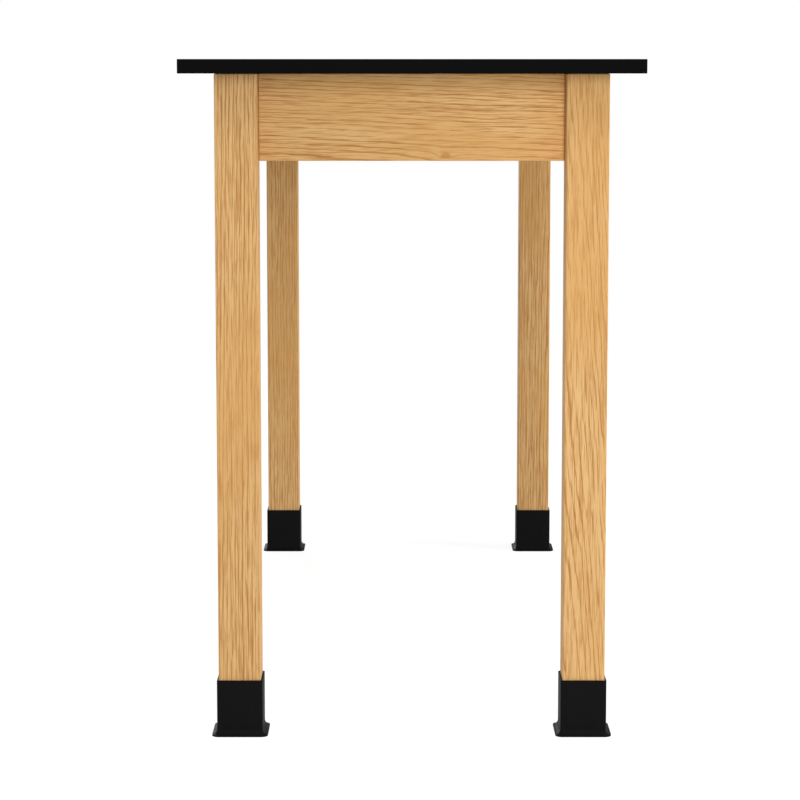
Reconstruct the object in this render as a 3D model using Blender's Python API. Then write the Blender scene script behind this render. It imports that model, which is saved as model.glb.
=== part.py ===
# Laboratory table with a black slab top on a four-legged oak frame.
# Each leg is pulled to its aprons by a steel corner brace and stands on a swivel levelling
# glide, which a coved leg shoe hides.
#
# Metres, +Z up. The origin is on the floor under the middle of the top. +Y runs along the
# length of the table, from the front end to the back end, and +X to the right.

import math

import bmesh
import bpy
from mathutils import Vector

# Top
TOP_WIDTH = 0.6096
TOP_LENGTH = 1.524
TOP_THICKNESS = 0.0187
TOP_EDGE_ROUND = 0.0008
TABLE_HEIGHT = 0.9065

# Legs, and how far the top reaches past them
LEG_SECTION = 0.0565
LEG_EDGE_ROUND = 0.0012
SIDE_OVERHANG = 0.045
END_OVERHANG = 0.039
LEG_BOLT_FLAT = 0.009

# Aprons and the rail between them
APRON_HEIGHT = 0.1153
APRON_THICKNESS = 0.019
APRON_EDGE_ROUND = 0.001
RAIL_HEIGHT = 0.076
RAIL_THICKNESS = 0.019
RAIL_HOUSING_DEPTH = 0.006

# Clearances
SEAT_GAP = 0.0003
SAW_CLEARANCE = 0.0005

# Corner brace, bent from steel strip
BRACE_THICKNESS = 0.0025
BRACE_HEIGHT = 0.083
BRACE_DROP = 0.022
BRACE_CORNER_DISTANCE = 0.040
BRACE_WING = 0.032
BRACE_HOOK = 0.007
BRACE_BEND_RADIUS = 0.0035
BRACE_HOLE_CLEARANCE = 0.0006
BRACE_SCREW_HOLE = 0.0048
BRACE_SCREW_SPACING = 0.050

# Hanger bolts and their flanged nuts
BOLT_DIAMETER = 0.0079
BOLT_EMBED = 0.036
BOLT_POINT = 0.007
BOLT_PROJECTION = 0.014
BOLT_SPACING = 0.044
BOLT_END_CHAMFER = 0.0008
NUT_FLATS = 0.0127
NUT_HEIGHT = 0.0075
NUT_FLANGE_DIAMETER = 0.0175
NUT_FLANGE_THICKNESS = 0.0015
NUT_CHAMFER = 0.0008

# Clips that hold the top to the aprons
CLIP_THICKNESS = 0.002
CLIP_WIDTH = 0.019
CLIP_DROP = 0.012
CLIP_TONGUE = 0.0065
CLIP_FLANGE = 0.022
CLIP_BEND_RADIUS = 0.002
CLIP_HOLE_DIAMETER = 0.0048
CLIP_END_DISTANCE = 0.1565
CLIPS_PER_SIDE = 4

# Levelling glide: moulded foot, screwed stem and the insert in the leg
FOOT_DIAMETER = 0.032
FOOT_RIM = 0.0026
FOOT_HEIGHT = 0.0085
FOOT_HUB_DIAMETER = 0.017
FOOT_EDGE_ROUND = 0.0006
SOCKET_FLOOR = 0.0022
BALL_DIAMETER = 0.0096
BALL_HEIGHT = 0.0034
NECK_DIAMETER = 0.006
HEX_FLATS = 0.0142
HEX_HEIGHT = 0.005
HEX_CHAMFER = 0.0007
STEM_DIAMETER = 0.0095
STEM_LENGTH = 0.040
STEM_END_CHAMFER = 0.001
INSERT_DIAMETER = 0.0138
INSERT_LENGTH = 0.025
INSERT_FLANGE_DIAMETER = 0.021
INSERT_FLANGE_THICKNESS = 0.0016
INSERT_LEAD_IN = 0.0008

# Leg shoe, a thin sleeve with a coved foot
SHOE_HEIGHT = 0.0762
SHOE_WALL = 0.0024
SHOE_CLEARANCE = 0.00025
SHOE_CORNER_RADIUS = 0.0028
SHOE_BORE_RADIUS = 0.0006
SHOE_FLANGE_REACH = 0.0068
SHOE_FLANGE_EDGE = 0.0026
SHOE_FLANGE_CORNER = 0.0095
SHOE_COVE_HEIGHT = 0.0068
SHOE_LIP_ROUND = 0.0006

# Facets
ROUND_SIDES = 24
FOOT_SIDES = 20
SMALL_SIDES = 12
CORNER_STEPS = 4
COVE_STEPS = 5
BEND_STEPS = 3
EDGE_STEPS = 2

# Worked out from the sizes above
FRAME_TOP = TABLE_HEIGHT - TOP_THICKNESS - SEAT_GAP
LEG_X = TOP_WIDTH / 2 - SIDE_OVERHANG - LEG_SECTION / 2
LEG_Y = TOP_LENGTH / 2 - END_OVERHANG - LEG_SECTION / 2
INNER_X = LEG_X - LEG_SECTION / 2
INNER_Y = LEG_Y - LEG_SECTION / 2
HEX_BOTTOM = FOOT_HEIGHT + SEAT_GAP
INSERT_BOTTOM = HEX_BOTTOM + HEX_HEIGHT + SEAT_GAP
LEG_BOTTOM = INSERT_BOTTOM + INSERT_FLANGE_THICKNESS + SEAT_GAP
STEM_TOP = HEX_BOTTOM + HEX_HEIGHT + STEM_LENGTH
BRACE_FACE = SEAT_GAP + BRACE_THICKNESS / 2
BRACE_BOTTOM = FRAME_TOP - BRACE_DROP - BRACE_HEIGHT
BRACE_MIDDLE = BRACE_BOTTOM + BRACE_HEIGHT / 2
KERF_DISTANCE = BRACE_CORNER_DISTANCE + BRACE_WING
KERF_WIDTH = BRACE_THICKNESS + 2 * SAW_CLEARANCE
KERF_DEPTH = BRACE_HOOK + SAW_CLEARANCE
GROOVE_HEIGHT = CLIP_THICKNESS + 2 * SAW_CLEARANCE
GROOVE_DEPTH = CLIP_TONGUE + SAW_CLEARANCE
APRON_BEVEL = math.sqrt(2) * (BOLT_DIAMETER / 2 + BRACE_HOLE_CLEARANCE)
LEG_DIAGONAL = LEG_SECTION / math.sqrt(2)
FLAT_DISTANCE = LEG_DIAGONAL - LEG_BOLT_FLAT / 2
WEB_DISTANCE = LEG_DIAGONAL + (BRACE_CORNER_DISTANCE + BRACE_FACE) / math.sqrt(2)
NUT_DISTANCE = WEB_DISTANCE + BRACE_THICKNESS / 2 + SEAT_GAP
BOLT_HEIGHTS = (BRACE_MIDDLE - BOLT_SPACING / 2, BRACE_MIDDLE + BOLT_SPACING / 2)
CLIP_PITCH = 2 * (INNER_Y - CLIP_END_DISTANCE) / (CLIPS_PER_SIDE - 1)
SHOE_BORE_HALF = LEG_SECTION / 2 + SHOE_CLEARANCE
SHOE_HALF = SHOE_BORE_HALF + SHOE_WALL

# Corners of the table: name, side along X, side along Y, and the turn that brings a corner
# modelled for the front left to its place
CORNERS = (
    ("front_left", -1, -1, 0),
    ("front_right", 1, -1, 90),
    ("back_right", 1, 1, 180),
    ("back_left", -1, 1, 270),
)


# Scene and materials


def clear_scene():
    for old in list(bpy.data.objects):
        bpy.data.objects.remove(old, do_unlink=True)


def make_material(name, color, roughness, metallic=0.0):
    material = bpy.data.materials.new(name)
    material.use_nodes = True
    shader = material.node_tree.nodes["Principled BSDF"]
    shader.inputs["Base Color"].default_value = (*color, 1.0)
    shader.inputs["Roughness"].default_value = roughness
    shader.inputs["Metallic"].default_value = metallic
    return material


def make_empty(name, location=(0, 0, 0), turn=0):
    empty = bpy.data.objects.new(name, None)
    empty.location = location
    empty.rotation_euler.z = math.radians(turn)
    bpy.context.scene.collection.objects.link(empty)
    return empty


# Meshes


def mesh_from(name, build):
    bm = bmesh.new()
    build(bm)
    bmesh.ops.recalc_face_normals(bm, faces=bm.faces)
    mesh = bpy.data.meshes.new(name)
    bm.to_mesh(mesh)
    bm.free()
    return mesh


def loft_mesh(name, rings, closed=False):
    # Skins a row of rings with equal counts of points. A closed loft joins its last ring to
    # its first, and an open one is capped at both ends.
    def build(bm):
        loops = [[bm.verts.new(point) for point in ring] for ring in rings]
        pairs = list(zip(loops, loops[1:]))
        if closed:
            pairs.append((loops[-1], loops[0]))
        else:
            bm.faces.new(loops[0])
            bm.faces.new(loops[-1])
        for lower, upper in pairs:
            for i in range(len(lower)):
                j = (i + 1) % len(lower)
                bm.faces.new((lower[i], lower[j], upper[j], upper[i]))

    mesh = mesh_from(name, build)
    mesh.shade_smooth()
    mesh.set_sharp_from_angle(angle=math.radians(35))
    return mesh


def block_mesh(name, size, low, edge_round=0.0):
    # A block of the given size whose lowest corner is at low, with its edges eased.
    def build(bm):
        bmesh.ops.create_cube(bm, size=1.0)
        for vert in bm.verts:
            for axis in range(3):
                vert.co[axis] = low[axis] + size[axis] * (vert.co[axis] + 0.5)
        if edge_round:
            bmesh.ops.bevel(
                bm,
                geom=list(bm.edges),
                offset=edge_round,
                segments=EDGE_STEPS,
                profile=0.5,
                affect="EDGES",
                clamp_overlap=True,
            )

    return mesh_from(name, build)


def circle(radius, z, sides=ROUND_SIDES):
    steps = (2 * math.pi * i / sides for i in range(sides))
    return [Vector((radius * math.cos(t), radius * math.sin(t), z)) for t in steps]


def hexagon(flats, z, sides=ROUND_SIDES, limit=None):
    # A hexagon as a ring of sides points, so that it skins to a circle. limit is the radius
    # that its corners are turned down to.
    ring = []
    for i in range(sides):
        angle = 2 * math.pi * i / sides
        off_flat = (angle + math.pi / 6) % (math.pi / 3) - math.pi / 6
        radius = flats / 2 / math.cos(off_flat)
        if limit:
            radius = min(radius, limit)
        ring.append(Vector((radius * math.cos(angle), radius * math.sin(angle), z)))
    return ring


def rounded_square(half, radius, z):
    ring = []
    for quarter in range(4):
        turn = math.pi / 2 * quarter
        centre = Vector((half - radius, half - radius))
        for i in range(CORNER_STEPS + 1):
            angle = math.pi / 2 * i / CORNER_STEPS
            point = centre + Vector((math.cos(angle), math.sin(angle))) * radius
            x = point.x * math.cos(turn) - point.y * math.sin(turn)
            y = point.x * math.sin(turn) + point.y * math.cos(turn)
            ring.append(Vector((x, y, z)))
    return ring


def turned_mesh(name, profile, closed=False, sides=ROUND_SIDES):
    return loft_mesh(name, [circle(r, z, sides) for r, z in profile], closed)


def rounded_path(points, radii):
    # The path through the points with each bend as an arc of its own radius.
    path = [Vector(points[0])]
    for before, corner, after, radius in zip(points, points[1:], points[2:], radii):
        corner = Vector(corner)
        back = (Vector(before) - corner).normalized()
        ahead = (Vector(after) - corner).normalized()
        half = back.angle(ahead) / 2
        centre = corner + (back + ahead).normalized() * radius / math.sin(half)
        start = (corner + back * radius / math.tan(half) - centre).normalized()
        end = (corner + ahead * radius / math.tan(half) - centre).normalized()
        for i in range(BEND_STEPS + 1):
            path.append(centre + start.slerp(end, i / BEND_STEPS).normalized() * radius)
    path.append(Vector(points[-1]))
    return path


def strip_mesh(name, points, radii, thickness, width):
    # Sheet bent along a path in the XY plane, with its width from 0 up along Z.
    path = rounded_path(points, radii)
    rings = []
    for i, point in enumerate(path):
        before = path[max(i - 1, 0)]
        after = path[min(i + 1, len(path) - 1)]
        arrive = (point - before).normalized() if i else (after - point).normalized()
        leave = (after - point).normalized() if i < len(path) - 1 else arrive
        along = (arrive + leave).normalized()
        mitre = thickness / 2 / max(along.dot(arrive), 0.5)
        side = Vector((-along.y, along.x)) * mitre
        left, right = point + side, point - side
        rings.append(
            [
                Vector((left.x, left.y, 0)),
                Vector((left.x, left.y, width)),
                Vector((right.x, right.y, width)),
                Vector((right.x, right.y, 0)),
            ]
        )
    return loft_mesh(name, rings)


# Objects


def place(name, mesh, material, parent, location=(0, 0, 0), rotation=(0, 0, 0)):
    piece = bpy.data.objects.new(name, mesh)
    if not mesh.materials:
        mesh.materials.append(material)
    piece.parent = parent
    piece.location = location
    piece.rotation_euler = rotation
    bpy.context.scene.collection.objects.link(piece)
    return piece


def cut_mesh(mesh, cutters):
    # The mesh with every cutter taken out of it. A cutter is a mesh with its place and turn.
    body = bpy.data.objects.new(mesh.name, mesh)
    bpy.context.scene.collection.objects.link(body)
    tools = []
    for i, (tool_mesh, location, rotation) in enumerate(cutters):
        tool = bpy.data.objects.new(f"cutter_{i}", tool_mesh)
        tool.location = location
        tool.rotation_euler = rotation
        tool.hide_render = True
        tool.display_type = "WIRE"
        bpy.context.scene.collection.objects.link(tool)
        tools.append(tool)
        cut = body.modifiers.new("cut", "BOOLEAN")
        cut.operation = "DIFFERENCE"
        cut.solver = "EXACT"
        cut.object = tool
    bpy.context.view_layer.update()
    shaped = body.evaluated_get(bpy.context.evaluated_depsgraph_get())
    finished = bpy.data.meshes.new_from_object(shaped)
    for done in [body, *tools]:
        bpy.data.objects.remove(done, do_unlink=True)
    return finished


DIAGONAL_TURN = (0, math.pi / 2, math.pi / 4)


def on_diagonal(distance, z):
    # A point on the diagonal that runs from a leg's axis to the middle of the table.
    return (distance / math.sqrt(2), distance / math.sqrt(2), z)


# Wooden frame


def leg_mesh():
    # A square post, modelled at its place over the floor and centred on its own axis. Its
    # inner corner has a flat for the hanger bolts, and its foot is bored for the insert.
    half = LEG_SECTION / 2
    post = block_mesh(
        "leg",
        (LEG_SECTION, LEG_SECTION, FRAME_TOP - LEG_BOTTOM),
        (-half, -half, LEG_BOTTOM),
        LEG_EDGE_ROUND,
    )
    flat = block_mesh(
        "flat_cutter",
        (LEG_SECTION, LEG_SECTION, APRON_HEIGHT + LEG_EDGE_ROUND),
        (0, -half, 0),
    )
    bolt_bore = turned_mesh(
        "bolt_bore",
        [
            (BOLT_DIAMETER / 2 + SEAT_GAP, -BOLT_EMBED - SEAT_GAP),
            (BOLT_DIAMETER / 2 + SEAT_GAP, LEG_SECTION),
        ],
        sides=SMALL_SIDES,
    )
    stem_bore = turned_mesh(
        "stem_bore",
        [
            (INSERT_DIAMETER / 2 + SEAT_GAP, 0),
            (INSERT_DIAMETER / 2 + SEAT_GAP, STEM_TOP + SEAT_GAP),
        ],
        sides=SMALL_SIDES,
    )
    cutters = [(flat, on_diagonal(FLAT_DISTANCE, FRAME_TOP - APRON_HEIGHT), (0, 0, math.pi / 4))]
    cutters += [(bolt_bore, on_diagonal(FLAT_DISTANCE, z), DIAGONAL_TURN) for z in BOLT_HEIGHTS]
    cutters.append((stem_bore, (0, 0, 0), (0, 0, 0)))
    return cut_mesh(post, cutters)


def apron_mesh(name, inner_half, housing=False):
    # A board along X with its inner face on Y = 0 and its top edge on Z = 0. The inner face
    # has a saw kerf near each end for a brace hook, a groove for the clips, and on the long
    # boards a housing for the rail. Its inner end corners are bevelled past the bolts.
    half = inner_half - SEAT_GAP
    board = block_mesh(
        name,
        (2 * half, APRON_THICKNESS, APRON_HEIGHT),
        (-half, -APRON_THICKNESS, -APRON_HEIGHT),
        APRON_EDGE_ROUND,
    )
    kerf = block_mesh(
        "kerf",
        (KERF_WIDTH, 2 * KERF_DEPTH, 2 * APRON_HEIGHT),
        (-KERF_WIDTH / 2, -KERF_DEPTH, -3 * APRON_HEIGHT / 2),
    )
    groove = block_mesh(
        "groove",
        (3 * half, 2 * GROOVE_DEPTH, GROOVE_HEIGHT),
        (-3 * half / 2, -GROOVE_DEPTH, -CLIP_DROP - GROOVE_HEIGHT / 2),
    )
    bevel_side = math.sqrt(2) * APRON_BEVEL
    bevel = block_mesh(
        "bevel",
        (bevel_side, bevel_side, 2 * APRON_HEIGHT),
        (-bevel_side / 2, -bevel_side / 2, -3 * APRON_HEIGHT / 2),
    )
    kerf_x = inner_half - KERF_DISTANCE
    cutters = [(kerf, (x, 0, 0), (0, 0, 0)) for x in (-kerf_x, kerf_x)]
    cutters += [(bevel, (x, 0, 0), (0, 0, math.pi / 4)) for x in (-inner_half, inner_half)]
    cutters.append((groove, (0, 0, 0), (0, 0, 0)))
    if housing:
        slot_width = RAIL_THICKNESS + 2 * SEAT_GAP
        slot = block_mesh(
            "housing",
            (slot_width, 2 * RAIL_HOUSING_DEPTH, 2 * RAIL_HEIGHT),
            (-slot_width / 2, -RAIL_HOUSING_DEPTH, -RAIL_HEIGHT - SEAT_GAP),
        )
        cutters.append((slot, (0, 0, 0), (0, 0, 0)))
    return cut_mesh(board, cutters)


def add_frame(oak, parent):
    end_mesh = apron_mesh("end_apron", INNER_X)
    side_mesh = apron_mesh("side_apron", INNER_Y, housing=True)
    boards = (
        ("end_apron_front", end_mesh, (0, -INNER_Y, FRAME_TOP), 0),
        ("end_apron_back", end_mesh, (0, INNER_Y, FRAME_TOP), 180),
        ("side_apron_right", side_mesh, (INNER_X, 0, FRAME_TOP), 90),
        ("side_apron_left", side_mesh, (-INNER_X, 0, FRAME_TOP), 270),
    )
    for name, mesh, location, turn in boards:
        place(name, mesh, oak, parent, location, (0, 0, math.radians(turn)))
    reach = INNER_X + RAIL_HOUSING_DEPTH - SEAT_GAP
    rail = block_mesh(
        "cross_rail",
        (2 * reach, RAIL_THICKNESS, RAIL_HEIGHT),
        (-reach, -RAIL_THICKNESS / 2, -RAIL_HEIGHT),
        APRON_EDGE_ROUND,
    )
    place("cross_rail", rail, oak, parent, (0, 0, FRAME_TOP))


def add_top(slab, parent):
    mesh = block_mesh(
        "table_top",
        (TOP_WIDTH, TOP_LENGTH, TOP_THICKNESS),
        (-TOP_WIDTH / 2, -TOP_LENGTH / 2, -TOP_THICKNESS),
        TOP_EDGE_ROUND,
    )
    place("table_top", mesh, slab, parent, (0, 0, TABLE_HEIGHT))


# Corner brace and its bolts


def brace_mesh():
    # Bent strip, modelled from the corner where the two aprons' inner faces meet: a web
    # across the corner with holes for the bolts, a wing on each apron with holes for wood
    # screws, and a hook into each kerf.
    far = KERF_DISTANCE
    near = BRACE_CORNER_DISTANCE
    points = [
        (far, -BRACE_HOOK),
        (far, BRACE_FACE),
        (near, BRACE_FACE),
        (BRACE_FACE, near),
        (BRACE_FACE, far),
        (-BRACE_HOOK, far),
    ]
    radii = (BRACE_FACE, BRACE_BEND_RADIUS, BRACE_BEND_RADIUS, BRACE_FACE)
    strip = strip_mesh("corner_brace", points, radii, BRACE_THICKNESS, BRACE_HEIGHT)
    reach = 2 * BRACE_BEND_RADIUS
    radius = BOLT_DIAMETER / 2 + BRACE_HOLE_CLEARANCE
    bolt_hole = turned_mesh("bolt_hole", [(radius, -reach), (radius, reach)], sides=SMALL_SIDES)
    radius = BRACE_SCREW_HOLE / 2
    screw_hole = turned_mesh("screw_hole", [(radius, -reach), (radius, reach)], sides=SMALL_SIDES)
    web_middle = (near + BRACE_FACE) / 2
    wing_middle = (near + far) / 2
    cutters = [
        (bolt_hole, (web_middle, web_middle, z - BRACE_BOTTOM), DIAGONAL_TURN)
        for z in BOLT_HEIGHTS
    ]
    for offset in (-BRACE_SCREW_SPACING / 2, BRACE_SCREW_SPACING / 2):
        z = BRACE_HEIGHT / 2 + offset
        cutters.append((screw_hole, (wing_middle, BRACE_FACE, z), (math.pi / 2, 0, 0)))
        cutters.append((screw_hole, (BRACE_FACE, wing_middle, z), (0, math.pi / 2, 0)))
    return cut_mesh(strip, cutters)


def bolt_mesh():
    # Hanger bolt along Z with its wood-screw point down and the leg's flat at 0.
    radius = BOLT_DIAMETER / 2
    length = NUT_DISTANCE - FLAT_DISTANCE + BOLT_PROJECTION
    return turned_mesh(
        "hanger_bolt",
        [
            (radius / 5, -BOLT_EMBED),
            (radius, -BOLT_EMBED + BOLT_POINT),
            (radius, length - BOLT_END_CHAMFER),
            (radius - BOLT_END_CHAMFER, length),
        ],
        sides=SMALL_SIDES,
    )


def nut_mesh():
    # Flanged hexagon nut that stands on Z = 0.
    bore = BOLT_DIAMETER / 2 + SEAT_GAP
    flange = NUT_FLANGE_DIAMETER / 2
    rings = [
        circle(bore, 0),
        circle(flange, 0),
        circle(flange, NUT_FLANGE_THICKNESS),
        hexagon(NUT_FLATS, 2 * NUT_FLANGE_THICKNESS),
        hexagon(NUT_FLATS, NUT_HEIGHT - NUT_CHAMFER),
        hexagon(NUT_FLATS, NUT_HEIGHT, limit=NUT_FLATS / 2),
        circle(bore, NUT_HEIGHT),
    ]
    return loft_mesh("flange_nut", rings, closed=True)


# Levelling glide


def foot_mesh():
    # Round moulded foot with a socket that the stem's ball end turns in.
    radius = FOOT_DIAMETER / 2
    hub = FOOT_HUB_DIAMETER / 2
    mouth = NECK_DIAMETER / 2 + SEAT_GAP
    socket = BALL_DIAMETER / 2 + SEAT_GAP
    socket_top = SOCKET_FLOOR + BALL_HEIGHT + 2 * SEAT_GAP
    profile = [
        (radius - FOOT_EDGE_ROUND, 0),
        (radius, FOOT_EDGE_ROUND),
        (radius, FOOT_RIM - FOOT_EDGE_ROUND),
        (radius - FOOT_EDGE_ROUND, FOOT_RIM),
        (hub, FOOT_HEIGHT - FOOT_EDGE_ROUND),
        (hub - FOOT_EDGE_ROUND, FOOT_HEIGHT),
        (mouth, FOOT_HEIGHT),
        (mouth, socket_top),
        (socket, socket_top),
        (socket, SOCKET_FLOOR),
    ]
    return turned_mesh("glide_foot", profile, sides=FOOT_SIDES)


def stem_mesh():
    # Stem with its ball end in the foot, a hexagon for the spanner and the screwed part.
    ball = BALL_DIAMETER / 2
    ball_bottom = SOCKET_FLOOR + SEAT_GAP
    neck = NECK_DIAMETER / 2
    stem = STEM_DIAMETER / 2
    hex_top = HEX_BOTTOM + HEX_HEIGHT
    rings = [
        circle(ball, ball_bottom),
        circle(ball, ball_bottom + BALL_HEIGHT),
        circle(neck, ball_bottom + BALL_HEIGHT),
        circle(neck, HEX_BOTTOM),
        hexagon(HEX_FLATS, HEX_BOTTOM),
        hexagon(HEX_FLATS, hex_top - HEX_CHAMFER),
        hexagon(HEX_FLATS, hex_top, limit=HEX_FLATS / 2),
        circle(stem, hex_top),
        circle(stem, STEM_TOP - STEM_END_CHAMFER),
        circle(stem - STEM_END_CHAMFER, STEM_TOP),
    ]
    return loft_mesh("glide_stem", rings)


def insert_mesh():
    # Flanged insert in the foot of the leg, bored for the stem.
    bore = STEM_DIAMETER / 2 + SEAT_GAP
    body = INSERT_DIAMETER / 2
    flange = INSERT_FLANGE_DIAMETER / 2
    top = LEG_BOTTOM + INSERT_LENGTH
    profile = [
        (bore + INSERT_LEAD_IN, INSERT_BOTTOM),
        (flange, INSERT_BOTTOM),
        (flange, INSERT_BOTTOM + INSERT_FLANGE_THICKNESS),
        (body, INSERT_BOTTOM + INSERT_FLANGE_THICKNESS),
        (body, top - INSERT_LEAD_IN),
        (body - INSERT_LEAD_IN, top),
        (bore, top),
        (bore, INSERT_BOTTOM + INSERT_LEAD_IN),
    ]
    return turned_mesh("threaded_insert", profile, closed=True, sides=SMALL_SIDES)


# Leg shoe


def shoe_mesh():
    # A square sleeve round the leg, open at both ends, that sweeps out in a cove to a foot
    # with round corners.
    flange = SHOE_HALF + SHOE_FLANGE_REACH
    cove_top = SHOE_FLANGE_EDGE + SHOE_COVE_HEIGHT
    rings = [
        rounded_square(flange - SHOE_LIP_ROUND, SHOE_FLANGE_CORNER - SHOE_LIP_ROUND, 0),
        rounded_square(flange, SHOE_FLANGE_CORNER, SHOE_LIP_ROUND),
        rounded_square(flange, SHOE_FLANGE_CORNER, SHOE_FLANGE_EDGE - SHOE_LIP_ROUND),
    ]
    for i in range(COVE_STEPS + 1):
        angle = math.pi / 2 * (1 - i / COVE_STEPS)
        share = 1 - math.cos(angle)
        half = SHOE_HALF + (SHOE_FLANGE_REACH - SHOE_LIP_ROUND) * share
        corner = SHOE_CORNER_RADIUS + (SHOE_FLANGE_CORNER - SHOE_CORNER_RADIUS) * share
        rings.append(rounded_square(half, corner, cove_top - SHOE_COVE_HEIGHT * math.sin(angle)))
    rings += [
        rounded_square(SHOE_HALF, SHOE_CORNER_RADIUS, SHOE_HEIGHT - SHOE_LIP_ROUND),
        rounded_square(SHOE_HALF - SHOE_LIP_ROUND, SHOE_CORNER_RADIUS - SHOE_LIP_ROUND, SHOE_HEIGHT),
        rounded_square(SHOE_BORE_HALF, SHOE_BORE_RADIUS, SHOE_HEIGHT),
        rounded_square(SHOE_BORE_HALF, SHOE_BORE_RADIUS, 0),
    ]
    return loft_mesh("leg_shoe", rings, closed=True)


# Clips for the top


def clip_mesh():
    # Bent clip, modelled on the inner face of an apron: X runs in under the top, Y is up from
    # the top edge of the apron, and Z is along the apron.
    rise = SEAT_GAP + CLIP_THICKNESS / 2
    points = [
        (-CLIP_TONGUE, -CLIP_DROP),
        (rise, -CLIP_DROP),
        (rise, -CLIP_THICKNESS / 2),
        (rise + CLIP_FLANGE, -CLIP_THICKNESS / 2),
    ]
    radii = (rise, CLIP_BEND_RADIUS)
    strip = strip_mesh("top_clip", points, radii, CLIP_THICKNESS, CLIP_WIDTH)
    radius = CLIP_HOLE_DIAMETER / 2
    bore = turned_mesh("screw_hole", [(radius, -CLIP_DROP), (radius, CLIP_DROP)], sides=SMALL_SIDES)
    hole_x = rise + CLIP_FLANGE - CLIP_WIDTH / 2
    return cut_mesh(strip, [(bore, (hole_x, 0, CLIP_WIDTH / 2), (math.pi / 2, 0, 0))])


def add_clips(steel, parent):
    mesh = clip_mesh()
    spots = []
    for side, x, turn in (("left", -INNER_X, 0), ("right", INNER_X, 180)):
        for i in range(CLIPS_PER_SIDE):
            y = (i - (CLIPS_PER_SIDE - 1) / 2) * CLIP_PITCH
            spots.append((f"top_clip_{side}_{i + 1}", x, y, turn))
    spots.append(("top_clip_front", 0, -INNER_Y, 90))
    spots.append(("top_clip_back", 0, INNER_Y, 270))
    for name, x, y, turn in spots:
        along = Vector((math.sin(math.radians(turn)), -math.cos(math.radians(turn)), 0))
        start = Vector((x, y, FRAME_TOP)) - along * CLIP_WIDTH / 2
        place(name, mesh, steel, parent, start, (math.pi / 2, 0, math.radians(turn)))


# Assembly


def add_corner_pieces(meshes, materials, corner, name):
    place(f"leg_{name}", meshes["leg"], materials["oak"], corner)
    inner = LEG_SECTION / 2
    place(
        f"corner_brace_{name}",
        meshes["brace"],
        materials["zinc"],
        corner,
        (inner, inner, BRACE_BOTTOM),
    )
    for level, z in zip(("lower", "upper"), BOLT_HEIGHTS):
        place(
            f"hanger_bolt_{name}_{level}",
            meshes["bolt"],
            materials["zinc"],
            corner,
            on_diagonal(FLAT_DISTANCE, z),
            DIAGONAL_TURN,
        )
        place(
            f"flange_nut_{name}_{level}",
            meshes["nut"],
            materials["zinc"],
            corner,
            on_diagonal(NUT_DISTANCE, z),
            DIAGONAL_TURN,
        )
    place(f"threaded_insert_{name}", meshes["insert"], materials["zinc"], corner)
    place(f"glide_foot_{name}", meshes["foot"], materials["nylon"], corner)
    place(f"glide_stem_{name}", meshes["stem"], materials["zinc"], corner)
    place(f"leg_shoe_{name}", meshes["shoe"], materials["vinyl"], corner)


def build_table():
    clear_scene()
    materials = {
        "slab": make_material("black_slab", (0.008, 0.008, 0.009), 0.45),
        "oak": make_material("oak", (0.62, 0.38, 0.16), 0.5),
        "vinyl": make_material("black_vinyl", (0.010, 0.010, 0.010), 0.5),
        "zinc": make_material("zinc_plated_steel", (0.55, 0.56, 0.58), 0.35, 1.0),
        "nylon": make_material("nylon", (0.03, 0.03, 0.03), 0.55),
    }
    meshes = {
        "leg": leg_mesh(),
        "brace": brace_mesh(),
        "bolt": bolt_mesh(),
        "nut": nut_mesh(),
        "insert": insert_mesh(),
        "foot": foot_mesh(),
        "stem": stem_mesh(),
        "shoe": shoe_mesh(),
    }
    table = make_empty("table")
    add_top(materials["slab"], table)
    add_frame(materials["oak"], table)
    add_clips(materials["zinc"], table)
    for name, side_x, side_y, turn in CORNERS:
        corner = make_empty(f"corner_{name}", (side_x * LEG_X, side_y * LEG_Y, 0), turn)
        corner.parent = table
        add_corner_pieces(meshes, materials, corner, name)
    bpy.context.view_layer.update()


build_table()
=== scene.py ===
# Laboratory table: a black slab on an oak frame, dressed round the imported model.
# Metres, +Z up. The floor is z = 0 and +Y runs along the table from its front end.

import math

import bmesh
import bpy
from mathutils import Matrix, Vector


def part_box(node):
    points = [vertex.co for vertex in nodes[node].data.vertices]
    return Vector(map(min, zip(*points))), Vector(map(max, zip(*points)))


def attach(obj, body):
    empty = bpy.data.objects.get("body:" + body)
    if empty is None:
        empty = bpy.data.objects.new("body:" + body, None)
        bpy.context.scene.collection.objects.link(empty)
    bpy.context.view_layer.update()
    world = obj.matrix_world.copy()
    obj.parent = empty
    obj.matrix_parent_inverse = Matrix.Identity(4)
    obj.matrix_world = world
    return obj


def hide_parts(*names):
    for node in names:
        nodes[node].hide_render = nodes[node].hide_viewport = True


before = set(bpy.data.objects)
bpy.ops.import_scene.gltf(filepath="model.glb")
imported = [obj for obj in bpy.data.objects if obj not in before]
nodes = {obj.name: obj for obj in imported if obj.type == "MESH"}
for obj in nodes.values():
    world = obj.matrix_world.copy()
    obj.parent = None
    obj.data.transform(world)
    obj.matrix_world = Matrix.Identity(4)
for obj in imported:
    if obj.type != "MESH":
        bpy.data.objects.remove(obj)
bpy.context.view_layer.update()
cornerSides = {"front_left": (-1, -1), "front_right": (1, -1), "back_right": (1, 1), "back_left": (-1, 1)}
print("frame loaded with", len(nodes), "nodes")

# Small helpers for node trees


def addNode(tree, kind, inputs=None, **settings):
    node = tree.nodes.new(kind)
    for key, value in settings.items():
        setattr(node, key, value)
    for socket, value in (inputs or {}).items():
        if isinstance(value, bpy.types.NodeSocket):
            tree.links.new(value, node.inputs[socket])
        else:
            node.inputs[socket].default_value = value
    return node


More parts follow.
